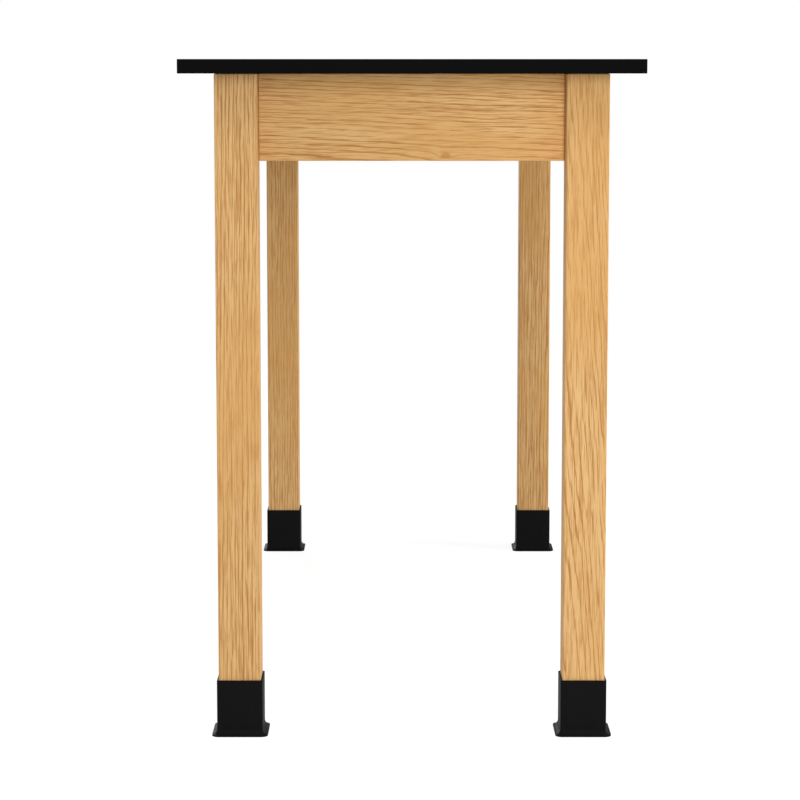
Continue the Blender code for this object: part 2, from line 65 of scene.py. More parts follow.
def maths(tree, operation, a, b=0.0, c=0.0):
    node = addNode(tree, "ShaderNodeMath", {0: a, 1: b}, operation=operation)
    if operation == "MULTIPLY_ADD":
        if isinstance(c, bpy.types.NodeSocket):
            tree.links.new(c, node.inputs[2])
        else:
            node.inputs[2].default_value = c
    return node.outputs[0]


def vectorMaths(tree, operation, a, b):
    return addNode(tree, "ShaderNodeVectorMath", {0: a, 1: b}, operation=operation).outputs["Vector"]


def fade(tree, value, start, end, low=0.0, high=1.0):
    inputs = {"Value": value, "From Min": start, "From Max": end, "To Min": low, "To Max": high}
    return addNode(tree, "ShaderNodeMapRange", inputs, interpolation_type="SMOOTHSTEP").outputs["Result"]


def mixColor(tree, factor, a, b):
    node = addNode(tree, "ShaderNodeMix", {"Factor": factor}, data_type="RGBA", blend_type="MIX")
    for socket, value in ((node.inputs[6], a), (node.inputs[7], b)):
        if isinstance(value, bpy.types.NodeSocket):
            tree.links.new(value, socket)
        else:
            socket.default_value = value
    return node.outputs[2]


def noise(tree, place, stretch, detail=2.0, roughness=0.5):
    # stretch is how many features fit in a metre along each axis
    scaled = vectorMaths(tree, "MULTIPLY", place, stretch)
    inputs = {"Vector": scaled, "Scale": 1.0, "Detail": detail, "Roughness": roughness}
    return addNode(tree, "ShaderNodeTexNoise", inputs)


def newGroup(name, inputs, outputs):
    group = bpy.data.node_groups.new(name, "ShaderNodeTree")
    for label, kind, value in inputs:
        socket = group.interface.new_socket(label, in_out="INPUT", socket_type=f"NodeSocket{kind}")
        socket.default_value = value
    for label, kind in outputs:
        group.interface.new_socket(label, in_out="OUTPUT", socket_type=f"NodeSocket{kind}")
    return group, group.nodes.new("NodeGroupInput").outputs, group.nodes.new("NodeGroupOutput").inputs


def useGroup(tree, group, inputs):
    node = tree.nodes.new("ShaderNodeGroup")
    node.node_tree = group
    for socket, value in inputs.items():
        if isinstance(value, bpy.types.NodeSocket):
            tree.links.new(value, node.inputs[socket])
        else:
            node.inputs[socket].default_value = value
    return node.outputs


def newMaterial(name, values):
    # values go straight onto the Principled shader's own sockets
    material = bpy.data.materials.new(name)
    material.use_nodes = True
    tree = material.node_tree
    shader = tree.nodes["Principled BSDF"]
    for label, value in values.items():
        shader.inputs[label].default_value = value
    return material, tree, shader


def bumpInto(tree, shader, height, distance, strength):
    inputs = {"Height": height, "Distance": distance, "Strength": strength}
    tree.links.new(addNode(tree, "ShaderNodeBump", inputs).outputs["Normal"], shader.inputs["Normal"])


def centredAt(tree, centre, turn=(0, 0, 0)):
    # object coordinates moved and turned into a piece's own frame
    coords = addNode(tree, "ShaderNodeTexCoord").outputs["Object"]
    inputs = {"Vector": coords, "Location": centre, "Rotation": turn}
    return addNode(tree, "ShaderNodeMapping", inputs, vector_type="TEXTURE").outputs["Vector"]


def dress(nodeName, material):
    piece = nodes[nodeName]
    piece.data.materials.clear()
    piece.data.materials.append(material)


# Shared effects. A stretch is how many features fit in a metre across and along the board,
# a fade the range of values over which something comes in.

grain = {
    "slow": dict(stretch=(9, 9, 2.2), detail=2.5),
    "quick": dict(stretch=(50, 50, 6), detail=2.0),
    "ripple": dict(stretch=(120, 120, 11), detail=2.5, roughness=0.6),
    "swell": dict(stretch=(40, 40, 5), detail=1.5),
    "fibre": dict(stretch=(700, 700, 24), detail=2.0, roughness=0.6),
    "streak": dict(stretch=(260, 260, 7), detail=2.0, roughness=0.5),
    "patch": dict(stretch=(14, 14, 3.5), detail=1.5),
    "pore": dict(stretch=(1500, 1500, 75), detail=1.0, roughness=0.5),
    "years": {"Scale": 95.0, "Detail": 1.0},
    "yearShift": 0.6,
    "rippleShift": 0.9,
    "ringRise": (0.0, 0.1),
    "ringFall": (0.14, 0.4),
    "swellFade": (0.25, 0.7, 0.5, 1.15),
    "ringChance": (0.5, 0.6),
    "ringDark": 1.1,
    "fibreFade": (0.36, 0.64, -0.42, 0.42),
    "streakDark": 1.1,
    "knotDark": 0.9,
    "allDark": 0.17,
    "patchFade": (0.36, 0.68, 0.0, 0.5),
    "poreFade": (0.56, 0.68),
    "poreChance": (0.75, 0.2),
    "poreDark": 0.28,
    "poreColor": (0.27, 0.115, 0.032, 1),
    "fibreHeight": 0.35,
    "ringHeight": -0.25,
    "roughness": 0.64,
    "poreRoughness": 0.2,
}
knotShape = {"squash": (1, 0.4, 0.42), "core": 0.0015, "most": 2.2, "fade": (0.85, 1.8)}


def makeOakGrain():
    # Growth rings round a pith that lies outside the board, with wavy fibres and open pores.
    # The board's grain runs along Z of the incoming vector.
    tree, given, result = newGroup(
        "oakGrain",
        [
            ("Vector", "Vector", (0, 0, 0)),
            ("Shift", "Vector", (0, 0, 0)),
            ("Pith", "Vector", (0.1, 0.1, 0)),
            ("Lean", "Vector", (0, 0, 0)),
            ("Knot", "Vector", (0, 0, 0)),
            ("Knot Size", "Float", 0.0),
            ("Ring Spacing", "Float", 0.005),
            ("Wander", "Float", 0.006),
            ("Sway", "Float", 0.004),
            ("Figure", "Float", 1.0),
            ("Light", "Color", (0.8, 0.5, 0.2, 1)),
            ("Dark", "Color", (0.5, 0.3, 0.1, 1)),
            ("Warm", "Color", (0.7, 0.4, 0.1, 1)),
        ],
        [("Color", "Color"), ("Height", "Float"), ("Roughness", "Float")],
    )
    moved = vectorMaths(tree, "ADD", given["Vector"], given["Shift"])
    # slow wander bends the rings along the board, quick ripple gives each line its tremor
    slow = noise(tree, moved, **grain["slow"]).outputs["Color"]
    slow = vectorMaths(tree, "SUBTRACT", slow, (0.5, 0.5, 0.5))
    bend = addNode(tree, "ShaderNodeVectorMath", {0: slow, "Scale": given["Wander"]}, operation="SCALE")
    quick = noise(tree, moved, **grain["quick"]).outputs["Color"]
    quick = vectorMaths(tree, "SUBTRACT", quick, (0.5, 0.5, 0.5))
    sway = addNode(tree, "ShaderNodeVectorMath", {0: quick, "Scale": given["Sway"]}, operation="SCALE")
    ripple = noise(tree, moved, **grain["ripple"]).outputs["Fac"]
    along = addNode(tree, "ShaderNodeSeparateXYZ", {0: given["Vector"]}).outputs["Z"]
    leaned = addNode(tree, "ShaderNodeVectorMath", {0: given["Lean"], "Scale": along}, operation="SCALE")
    spot = vectorMaths(tree, "SUBTRACT", given["Vector"], given["Pith"])
    spot = vectorMaths(tree, "SUBTRACT", spot, leaned.outputs["Vector"])
    spot = vectorMaths(tree, "ADD", spot, bend.outputs["Vector"])
    spot = vectorMaths(tree, "ADD", spot, sway.outputs["Vector"])
    flat = vectorMaths(tree, "MULTIPLY", spot, (1, 1, 0))
    radius = addNode(tree, "ShaderNodeVectorMath", {0: flat}, operation="LENGTH").outputs["Value"]
    rings = maths(tree, "DIVIDE", radius, given["Ring Spacing"])
    # good and lean years make the rings wider and narrower
    inputs = {"W": radius, **grain["years"]}
    years = addNode(tree, "ShaderNodeTexNoise", inputs, noise_dimensions="1D").outputs["Fac"]
    rings = maths(tree, "ADD", rings, maths(tree, "MULTIPLY", years, grain["yearShift"]))
    rings = maths(tree, "ADD", rings, maths(tree, "MULTIPLY", ripple, grain["rippleShift"]))
    # a knot pushes the rings aside and darkens its own middle
    apart = vectorMaths(tree, "SUBTRACT", given["Vector"], given["Knot"])
    apart = vectorMaths(tree, "MULTIPLY", apart, knotShape["squash"])
    distance = addNode(tree, "ShaderNodeVectorMath", {0: apart}, operation="LENGTH").outputs["Value"]
    closeness = maths(tree, "DIVIDE", given["Knot Size"], maths(tree, "ADD", distance, knotShape["core"]))
    closeness = maths(tree, "MINIMUM", closeness, knotShape["most"])
    rings = maths(tree, "ADD", rings, closeness)
    knotDark = fade(tree, closeness, *knotShape["fade"])
    # each ring rises quickly to its dark early wood and fades slowly into late wood
    phase = maths(tree, "FRACT", rings)
    number = maths(tree, "FLOOR", rings)
    chance = addNode(tree, "ShaderNodeTexWhiteNoise", {"W": number}, noise_dimensions="1D").outputs["Value"]
    rise = fade(tree, phase, *grain["ringRise"])
    fall = fade(tree, phase, *grain["ringFall"], 1.0, 0.0)
    band = maths(tree, "MULTIPLY", rise, fall)
    # the lines swell and thin out along the board, and some rings are stronger than others
    swell = fade(tree, noise(tree, moved, **grain["swell"]).outputs["Fac"], *grain["swellFade"])
    strength = maths(tree, "MULTIPLY", swell, maths(tree, "MULTIPLY_ADD", chance, *grain["ringChance"]))
    early = maths(tree, "MULTIPLY", band, strength)
    # fibres, streaks and patches of tone
    fibre = noise(tree, moved, **grain["fibre"]).outputs["Fac"]
    streak = noise(tree, moved, **grain["streak"]).outputs["Fac"]
    patch = noise(tree, moved, **grain["patch"]).outputs["Fac"]
    poreField = noise(tree, moved, **grain["pore"]).outputs["Fac"]
    pores = fade(tree, poreField, *grain["poreFade"])
    pores = maths(tree, "MULTIPLY", pores, maths(tree, "MULTIPLY_ADD", band, *grain["poreChance"]))
    dark = maths(tree, "MULTIPLY", early, maths(tree, "MULTIPLY", given["Figure"], grain["ringDark"]))
    dark = maths(tree, "ADD", dark, fade(tree, fibre, *grain["fibreFade"]))
    streakDark = grain["streakDark"]
    dark = maths(tree, "ADD", dark, maths(tree, "MULTIPLY_ADD", streak, streakDark, -streakDark / 2))
    dark = maths(tree, "ADD", dark, maths(tree, "MULTIPLY", knotDark, grain["knotDark"]))
    dark = maths(tree, "ADD", dark, grain["allDark"])
    darkness = addNode(tree, "ShaderNodeClamp", {"Value": dark}).outputs["Result"]
    color = mixColor(tree, darkness, given["Light"], given["Dark"])
    color = mixColor(tree, fade(tree, patch, *grain["patchFade"]), color, given["Warm"])
    color = mixColor(tree, maths(tree, "MULTIPLY", pores, grain["poreDark"]), color, grain["poreColor"])
    tree.links.new(color, result["Color"])
    ringHeight = maths(tree, "MULTIPLY", band, grain["ringHeight"])
    height = maths(tree, "MULTIPLY_ADD", fibre, grain["fibreHeight"], ringHeight)
    tree.links.new(maths(tree, "SUBTRACT", height, pores), result["Height"])
    rough = maths(tree, "MULTIPLY_ADD", pores, grain["poreRoughness"], grain["roughness"])
    tree.links.new(rough, result["Roughness"])
    return tree


chips = {"noise": dict(stretch=(160, 160, 160), detail=3.0, roughness=0.6), "fade": (0.25, 1.0)}


def makeEdgeWear():
    # A mask along the edges of a block, from how far a point is from its nearest edge.
    group, given, result = newGroup(
        "edgeWear",
        [
            ("Vector", "Vector", (0, 0, 0)),
            ("Half Size", "Vector", (0.1, 0.1, 0.1)),
            ("Width", "Float", 0.002),
            ("Breakup", "Float", 0.6),
        ],
        [("Mask", "Float")],
    )
    size = vectorMaths(group, "ABSOLUTE", given["Vector"], (0, 0, 0))
    inside = vectorMaths(group, "SUBTRACT", given["Half Size"], size)
    part = addNode(group, "ShaderNodeSeparateXYZ", {0: inside}).outputs
    small = maths(group, "MINIMUM", part["X"], part["Y"])
    large = maths(group, "MAXIMUM", part["X"], part["Y"])
    middle = maths(group, "MAXIMUM", small, maths(group, "MINIMUM", large, part["Z"]))
    uneven = noise(group, given["Vector"], **chips["noise"]).outputs["Fac"]
    reach = maths(group, "MULTIPLY_ADD", uneven, given["Breakup"], maths(group, "SUBTRACT", 1.0, given["Breakup"]))
    width = maths(group, "MULTIPLY", given["Width"], reach)
    share = maths(group, "DIVIDE", middle, width)
    mask = fade(group, share, *chips["fade"], 1.0, 0.0)
    group.links.new(mask, result["Mask"])
    return group


def makeMottle():
    # Two sizes of cloudy variation round 0, for moulded and plated surfaces.
    group, given, result = newGroup(
        "mottle",
        [
            ("Vector", "Vector", (0, 0, 0)),
            ("Cloud Scale", "Float", 30.0),
            ("Speck Scale", "Float", 900.0),
            ("Speck Share", "Float", 0.5),
        ],
        [("Value", "Float"), ("Specks", "Float")],
    )
    inputs = {"Vector": given["Vector"], "Scale": given["Cloud Scale"], "Detail": 4.0}
    clouds = addNode(group, "ShaderNodeTexNoise", inputs).outputs["Fac"]
    inputs = {"Vector": given["Vector"], "Scale": given["Speck Scale"], "Detail": 2.0}
    specks = addNode(group, "ShaderNodeTexNoise", inputs).outputs["Fac"]
    node = addNode(group, "ShaderNodeMix", {"Factor": given["Speck Share"], 2: clouds, 3: specks})
    group.links.new(maths(group, "SUBTRACT", node.outputs[0], 0.5), result["Value"])
    group.links.new(maths(group, "SUBTRACT", specks, 0.5), result["Specks"])
    return group


grit = {"noise": dict(stretch=(140, 140, 90), detail=5.0, roughness=0.65), "fade": (0.42, 0.75), "least": 0.1}


def makeFloorDust():
    # Dust and scuffs that thin out with height over the floor.
    group, given, result = newGroup(
        "floorDust",
        [("Vector", "Vector", (0, 0, 0)), ("Height", "Float", 0.03), ("Amount", "Float", 0.4)],
        [("Mask", "Float")],
    )
    level = addNode(group, "ShaderNodeSeparateXYZ", {0: given["Vector"]}).outputs["Z"]
    low = fade(group, maths(group, "DIVIDE", level, given["Height"]), 0.0, 1.0, 1.0, grit["least"])
    spots = noise(group, given["Vector"], **grit["noise"]).outputs["Fac"]
    mask = maths(group, "MULTIPLY", low, fade(group, spots, *grit["fade"]))
    group.links.new(maths(group, "MULTIPLY", mask, given["Amount"]), result["Mask"])
    return group


oakGrain = makeOakGrain()
edgeWear = makeEdgeWear()
mottle = makeMottle()
floorDust = makeFloorDust()
print("shared effects made")

# Oak boards. pith is where the tree's heart lay from the board's middle, lean how far it
# strays for each metre of board, drift how much lighter the board grows for each metre,
# figure how strongly its rings show, and knots where one shows.

oak = {
    "light": (0.765, 0.478, 0.202, 1),
    "dark": (0.47, 0.205, 0.052, 1),
    "warm": (0.67, 0.35, 0.1, 1),
    "wornEdge": (0.58, 0.31, 0.1, 1),
    "wear": 0.2,
    "edgeWidth": 0.0045,
    "knotSize": 0.0058,
    "shiftShares": (1, 0.37, 0.71),
    "bumpDistance": 0.0001,
    "bumpStrength": 0.35,
    "shader": {"Specular IOR Level": 0.18},
}
upright = (0, 0, 0)
acrossTable = (0, math.pi / 2, 0)
alongTable = (-math.pi / 2, 0, 0)
boards = {
    "leg_front_left": dict(turn=upright, pith=(0.16, 0.05), lean=(0.02, -0.02), rings=0.0047, tone=0.9, shift=0.0),
    "leg_front_right": dict(
        turn=upright, pith=(-0.07, 0.085), lean=(-0.04, 0.03), rings=0.0034, tone=0.94, figure=0.72, shift=1.7
    ),
    "leg_back_left": dict(turn=upright, pith=(-0.11, 0.09), lean=(0.02, 0.02), rings=0.0036, tone=0.9, shift=3.1),
    "leg_back_right": dict(turn=upright, pith=(0.075, 0.09), lean=(-0.02, 0.02), rings=0.0031, tone=0.84, shift=4.9),
    "end_apron_front": dict(
        turn=acrossTable, pith=(0.088, 0.058), lean=(0.03, 0.02), rings=0.0047, tone=1.02, drift=0.6, shift=6.3
    ),
    "end_apron_back": dict(
        turn=acrossTable, pith=(-0.08, 0.085), lean=(0.05, 0.0), rings=0.0052, tone=0.98, shift=8.2
    ),
    "side_apron_left": dict(
        turn=alongTable, pith=(0.05, 0.03), lean=(0.02, 0.02), rings=0.0048, tone=1.0, shift=9.4
    ),
    "side_apron_right": dict(
        turn=alongTable, pith=(-0.06, -0.04), lean=(-0.015, 0.02), rings=0.005, tone=0.95, shift=11.6
    ),
    "cross_rail": dict(turn=acrossTable, pith=(0.05, 0.06), lean=(0.04, 0.02), rings=0.0045, tone=0.92, shift=13.8),
}
knots = {"end_apron_front": (0.05, -0.0095, 0.045)}


def toned(color, tone):
    return [part * tone for part in color[:3]] + [1]


def makeOak(nodeName, board):
    material, tree, shader = newMaterial("oak_" + nodeName, oak["shader"])
    low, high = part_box(nodeName)
    placed = centredAt(tree, (low + high) / 2, board["turn"])
    unturn = Matrix.Rotation(-board["turn"][0], 3, "X") @ Matrix.Rotation(-board["turn"][1], 3, "Y")
    half = unturn @ (high - low) / 2
    knot = knots.get(nodeName)
    inputs = {
        "Vector": placed,
        "Shift": [board["shift"] * share for share in oak["shiftShares"]],
        "Pith": (*board["pith"], 0),
        "Lean": (*board["lean"], 0),
        "Knot": knot or (0, 0, 0),
        "Knot Size": oak["knotSize"] if knot else 0.0,
        "Ring Spacing": board["rings"],
        "Figure": board.get("figure", 1.0),
        "Light": toned(oak["light"], board["tone"]),
        "Dark": toned(oak["dark"], board["tone"]),
        "Warm": toned(oak["warm"], board["tone"]),
    }
    wood = useGroup(tree, oakGrain, inputs)
    inputs = {"Vector": placed, "Half Size": [abs(x) for x in half], "Width": oak["edgeWidth"]}
    worn = useGroup(tree, edgeWear, inputs)["Mask"]
    along = addNode(tree, "ShaderNodeSeparateXYZ", {0: placed}).outputs["Z"]
    inputs = {0: wood["Color"], "Scale": maths(tree, "MULTIPLY_ADD", along, board.get("drift", 0.0), 1.0)}
    drifted = addNode(tree, "ShaderNodeVectorMath", inputs, operation="SCALE").outputs["Vector"]
    color = mixColor(tree, maths(tree, "MULTIPLY", worn, oak["wear"]), drifted, oak["wornEdge"])
    tree.links.new(color, shader.inputs["Base Color"])
    tree.links.new(wood["Roughness"], shader.inputs["Roughness"])
    bumpInto(tree, shader, wood["Height"], oak["bumpDistance"], oak["bumpStrength"])
    return material


for nodeName, board in boards.items():
    dress(nodeName, makeOak(nodeName, board))
print("oak boards dressed:", len(boards))

# Slab top

slab = {
    "color": (0.0040, 0.0040, 0.0041, 1),
    "worn": (0.0065, 0.0065, 0.0067, 1),
    "roughness": 0.46,
    "edgeWidth": 0.0016,
    "breakup": 0.8,
    "sheen": 0.16,
    "edgeSheen": 0.01,
    "sheenDepth": (0.0007, 0.0001),
    "clouds": {"Cloud Scale": 9.0, "Speck Scale": 1400.0, "Speck Share": 0.35},
    "cloudLift": 0.5,
    "wornLift": 0.1,
    "cloudRoughness": 0.16,
    "cloudSmudge": -0.5,
    "wipes": dict(stretch=(40, 9, 40), detail=5.0, roughness=0.6),
    "wipeFade": (0.45, 0.7),
    "wipeRoughness": 0.035,
    "smudgeFade": (0.4, 0.75, 1.0, 0.85),
    "bump": (0.00004, 0.35),
    "shader": {"Specular IOR Level": 0.0, "Coat Roughness": 0.42},
}


def makeSlab():
    material, tree, shader = newMaterial("black_slab", slab["shader"])
    low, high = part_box("table_top")
    placed = centredAt(tree, (low + high) / 2)
    clouds = useGroup(tree, mottle, {"Vector": placed, **slab["clouds"]})
    inputs = {"Vector": placed, "Half Size": (high - low) / 2, "Width": slab["edgeWidth"], "Breakup": slab["breakup"]}
    worn = useGroup(tree, edgeWear, inputs)["Mask"]
    wipes = noise(tree, placed, **slab["wipes"]).outputs["Fac"]  # faint cleaning marks along the top
    wornLift = maths(tree, "MULTIPLY", worn, slab["wornLift"])
    lift = maths(tree, "MULTIPLY_ADD", clouds["Value"], slab["cloudLift"], wornLift)
    tree.links.new(mixColor(tree, lift, slab["color"], slab["worn"]), shader.inputs["Base Color"])
    rough = maths(tree, "MULTIPLY_ADD", clouds["Value"], slab["cloudRoughness"], slab["roughness"])
    wiped = maths(tree, "MULTIPLY", fade(tree, wipes, *slab["wipeFade"]), slab["wipeRoughness"])
    rough = maths(tree, "ADD", rough, wiped)
    tree.links.new(rough, shader.inputs["Roughness"])
    # the pressed top face has a satin sheen, which the cut edges and the underside lack
    level = addNode(tree, "ShaderNodeSeparateXYZ", {0: placed}).outputs["Z"]
    top = (high.z - low.z) / 2
    start, full = slab["sheenDepth"]
    sheen = fade(tree, level, top - start, top - full, slab["edgeSheen"], slab["sheen"])
    wiped = fade(tree, wipes, *slab["smudgeFade"])
    smudge = maths(tree, "MULTIPLY_ADD", clouds["Value"], slab["cloudSmudge"], wiped)
    tree.links.new(maths(tree, "MULTIPLY", sheen, smudge), shader.inputs["Coat Weight"])
    bumpInto(tree, shader, clouds["Specks"], *slab["bump"])
    return material


dress("table_top", makeSlab())
print("slab top dressed")

# Zinc plated steel

zinc = {
    "color": (0.74, 0.745, 0.76, 1),
    "shade": (0.56, 0.57, 0.6, 1),
    "tint": (0.76, 0.73, 0.65, 1),
    "metallic": 0.85,
    "roughness": 0.4,
    "clouds": {"Cloud Scale": 70.0, "Speck Scale": 1600.0, "Speck Share": 0.3},
    "cloudFade": (-0.12, 0.16),
    "cloudRoughness": 0.35,
    "drawn": dict(stretch=(900, 900, 60), detail=3.0, roughness=0.6),
    "drawnFade": (0.5, 0.75, 0.0, 0.4),
    "bump": (0.00005, 0.3),
    "edgeRound": 0.0003,
    "edgeSteps": 2,
    "edgeAngle": math.radians(40),
}


def makeZinc():
    material, tree, shader = newMaterial("zinc_plated_steel", {"Metallic": zinc["metallic"]})
    coords = addNode(tree, "ShaderNodeTexCoord").outputs["Object"]
    cloud = useGroup(tree, mottle, {"Vector": coords, **zinc["clouds"]})
    drawn = noise(tree, coords, **zinc["drawn"]).outputs["Fac"]  # drawing lines of the strip
    color = mixColor(tree, fade(tree, cloud["Value"], *zinc["cloudFade"]), zinc["shade"], zinc["color"])
    color = mixColor(tree, fade(tree, drawn, *zinc["drawnFade"]), color, zinc["tint"])
    tree.links.new(color, shader.inputs["Base Color"])
    rough = maths(tree, "MULTIPLY_ADD", cloud["Value"], zinc["cloudRoughness"], zinc["roughness"])
    tree.links.new(rough, shader.inputs["Roughness"])
    bumpInto(tree, shader, maths(tree, "ADD", drawn, cloud["Specks"]), *zinc["bump"])
    return material


zincSteel = makeZinc()
steelNodes = [n for n in nodes if n.startswith(("corner_brace", "top_clip"))]
for nodeName in steelNodes:
    dress(nodeName, zincSteel)
    rounding = nodes[nodeName].modifiers.new("eased_edges", "BEVEL")
    rounding.width = zinc["edgeRound"]
    rounding.segments = zinc["edgeSteps"]
    rounding.angle_limit = zinc["edgeAngle"]
print("steel nodes dressed:", len(steelNodes))

# Black vinyl of the shoes and black nylon of the glide feet

vinyl = {
    "color": (0.0037, 0.0037, 0.0037, 1),
    "scuff": (0.018, 0.0175, 0.017, 1),
    "roughness": 0.6,
    "specular": 0.045,
    "dustHeight": 0.05,
}
nylon = {
    "color": (0.022, 0.022, 0.023, 1),
    "scuff": (0.10, 0.095, 0.09, 1),
    "roughness": 0.5,
    "specular": 0.3,
    "dustHeight": 0.02,
}


moulding = {
    "clouds": {"Cloud Scale": 45.0, "Speck Scale": 1900.0, "Speck Share": 0.4},
    "cloudLift": 0.12,
    "cloudRoughness": 0.3,
    "dust": 0.16,
    "dustRoughness": 0.5,
    "bump": (0.00006, 0.4),
}


def makeMoulded(name, finish):
    material, tree, shader = newMaterial(name, {"Specular IOR Level": finish["specular"]})
    coords = addNode(tree, "ShaderNodeTexCoord").outputs["Object"]
    cloud = useGroup(tree, mottle, {"Vector": coords, **moulding["clouds"]})
    inputs = {"Vector": coords, "Height": finish["dustHeight"], "Amount": moulding["dust"]}
    dust = useGroup(tree, floorDust, inputs)["Mask"]
    lift = maths(tree, "MULTIPLY_ADD", cloud["Value"], moulding["cloudLift"], dust)
    tree.links.new(mixColor(tree, lift, finish["color"], finish["scuff"]), shader.inputs["Base Color"])
    rough = maths(tree, "MULTIPLY_ADD", cloud["Value"], moulding["cloudRoughness"], finish["roughness"])
    rough = maths(tree, "MULTIPLY_ADD", dust, moulding["dustRoughness"], rough)
    tree.links.new(rough, shader.inputs["Roughness"])
    bumpInto(tree, shader, cloud["Specks"], *moulding["bump"])
    return material


blackVinyl = makeMoulded("black_vinyl", vinyl)
blackNylon = makeMoulded("black_nylon", nylon)
print("moulded materials made")

# Mesh helpers for the finer pieces


smoothAngle = math.radians(35)
mergeDistance = 1e-7


def meshFrom(name, build):
    bm = bmesh.new()
    build(bm)
    bmesh.ops.remove_doubles(bm, verts=bm.verts, dist=mergeDistance)
    bmesh.ops.recalc_face_normals(bm, faces=bm.faces)
    mesh = bpy.data.meshes.new(name)
    bm.to_mesh(mesh)
    bm.free()
    mesh.shade_smooth()
    mesh.set_sharp_from_angle(angle=smoothAngle)
    return mesh


def skin(bm, rings, closed):
    # joins a row of rings with equal counts of points
    loops = [[bm.verts.new(point) for point in ring] for ring in rings]
    pairs = list(zip(loops, loops[1:]))
    if closed:
        pairs.append((loops[-1], loops[0]))
    else:
        bm.faces.new(loops[0])
        bm.faces.new(loops[-1])
    for lower, upper in pairs:
        for i in range(len(lower)):
            j = (i + 1) % len(lower)
            bm.faces.new((lower[i], lower[j], upper[j], upper[i]))


def ringOf(z, sides, radiusAt):
    # one ring of points whose radius is a number or depends on the angle
    ring = []
    for i in range(sides):
        angle = 2 * math.pi * i / sides
        radius = radiusAt(angle) if callable(radiusAt) else radiusAt
        ring.append(Vector((radius * math.cos(angle), radius * math.sin(angle), z)))
    return ring


def hexOutline(flats, limit=None):
    def radiusAt(angle):
        offFlat = (angle + math.pi / 6) % (math.pi / 3) - math.pi / 6
        radius = flats / 2 / math.cos(offFlat)
        return min(radius, limit) if limit else radius

    return radiusAt


threadShape = {"stepsPerTurn": 8, "rootWidth": 0.1, "flankWidth": 0.75}


def threadRings(low, high, size, sides):
    # Rings of a right-handed screw thread. It fades out at both ends like a rolled one.
    rings = []
    count = math.ceil((high - low) / size["pitch"] * threadShape["stepsPerTurn"])
    for step in range(count + 1):
        z = low + (high - low) * step / count
        ease = min(1.0, (z - low) / size["pitch"], (high - z) / size["pitch"])

        def radiusAt(angle):
            share = (z / size["pitch"] - angle / (2 * math.pi)) % 1.0
            flank = (abs(2 * share - 1) - threadShape["rootWidth"]) / threadShape["flankWidth"]
            crest = min(1.0, max(0.0, flank))
            return size["minor"] + (size["major"] - size["minor"]) * crest * ease

        rings.append(ringOf(z, sides, radiusAt))
    return rings


def turned(sides, *profiles):
    # rings round the axis from rows of heights and radii
    return [ringOf(z, sides, radius) for profile in profiles for z, radius in profile]


def addPiece(name, mesh, material, body, matrix=None):
    if not mesh.materials:
        mesh.materials.append(material)
    piece = bpy.data.objects.new(name, mesh)
    bpy.context.scene.collection.objects.link(piece)
    if matrix:
        piece.matrix_world = matrix
    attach(piece, body)
    return piece


# Leg shoes: a square sleeve with a coved foot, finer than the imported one

shoe = {
    "wall": 0.0024,
    "cornerRadius": 0.0028,
    "boreRadius": 0.0006,
    "flangeReach": 0.0068,
    "flangeEdge": 0.0026,
    "flangeCorner": 0.0095,
    "coveHeight": 0.0068,
    "lipRound": 0.0006,
    "lipSteps": 3,
    "cornerSteps": 10,
    "coveSteps": 14,
}


def squareRing(half, radius, z):
    ring = []
    steps = shoe["cornerSteps"]
    for quarter in range(4):
        for i in range(steps + 1):
            angle = math.pi / 2 * (quarter + i / steps)
            sideX = 1 if quarter in (0, 3) else -1
            sideY = 1 if quarter in (0, 1) else -1
            x = sideX * (half - radius) + radius * math.cos(angle)
            y = sideY * (half - radius) + radius * math.sin(angle)
            ring.append(Vector((x, y, z)))
    return ring


def makeShoeMesh(halfFlange, height):
    half = halfFlange - shoe["flangeReach"]
    lip = shoe["lipRound"]
    flangeCorner = shoe["flangeCorner"]
    lipAngles = [math.pi / 2 * i / shoe["lipSteps"] for i in range(shoe["lipSteps"] + 1)]
    rings = []
    for angle in lipAngles:  # under edge of the foot, rounded
        inset = lip * (1 - math.sin(angle))
        rings.append(squareRing(halfFlange - inset, flangeCorner - inset, lip * (1 - math.cos(angle))))
    for angle in lipAngles:  # upper edge of the foot
        inset = lip * (1 - math.cos(angle))
        z = shoe["flangeEdge"] - lip + lip * math.sin(angle)
        rings.append(squareRing(halfFlange - inset, flangeCorner - inset, z))
    coveTop = shoe["flangeEdge"] + shoe["coveHeight"]
    for i in range(1, shoe["coveSteps"] + 1):
        angle = math.pi / 2 * (1 - i / shoe["coveSteps"])
        share = 1 - math.cos(angle)
        reach = half + (shoe["flangeReach"] - lip) * share
        corner = shoe["cornerRadius"] + (flangeCorner - shoe["cornerRadius"]) * share
        rings.append(squareRing(reach, corner, coveTop - shoe["coveHeight"] * math.sin(angle)))
    for angle in lipAngles:  # rounded rim
        inset = lip * (1 - math.cos(angle))
        z = height - lip + lip * math.sin(angle)
        rings.append(squareRing(half - inset, shoe["cornerRadius"] - inset, z))
    bore = half - shoe["wall"]
    rings.append(squareRing(bore + lip / 2, shoe["boreRadius"] + lip / 2, height))
    rings.append(squareRing(bore, shoe["boreRadius"], height - lip / 2))
    rings.append(squareRing(bore, shoe["boreRadius"], 0))
    return meshFrom("leg_shoe", lambda bm: skin(bm, rings, True))


low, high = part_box("leg_shoe_front_left")
shoeMesh = makeShoeMesh((high.x - low.x) / 2, high.z)
for corner in cornerSides:
    low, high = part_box("leg_shoe_" + corner)
    place = Matrix.Translation(((low.x + high.x) / 2, (low.y + high.y) / 2, 0))
    piece = addPiece("shoe_sleeve_" + corner, shoeMesh, blackVinyl, "shoe_" + corner, place)
    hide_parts("leg_shoe_" + corner)
print("leg shoes made")

# Levelling glides: a screwed stem that turns in a ribbed foot, and the insert that it runs in.
# Profiles are rows of heights and radii round the axis.

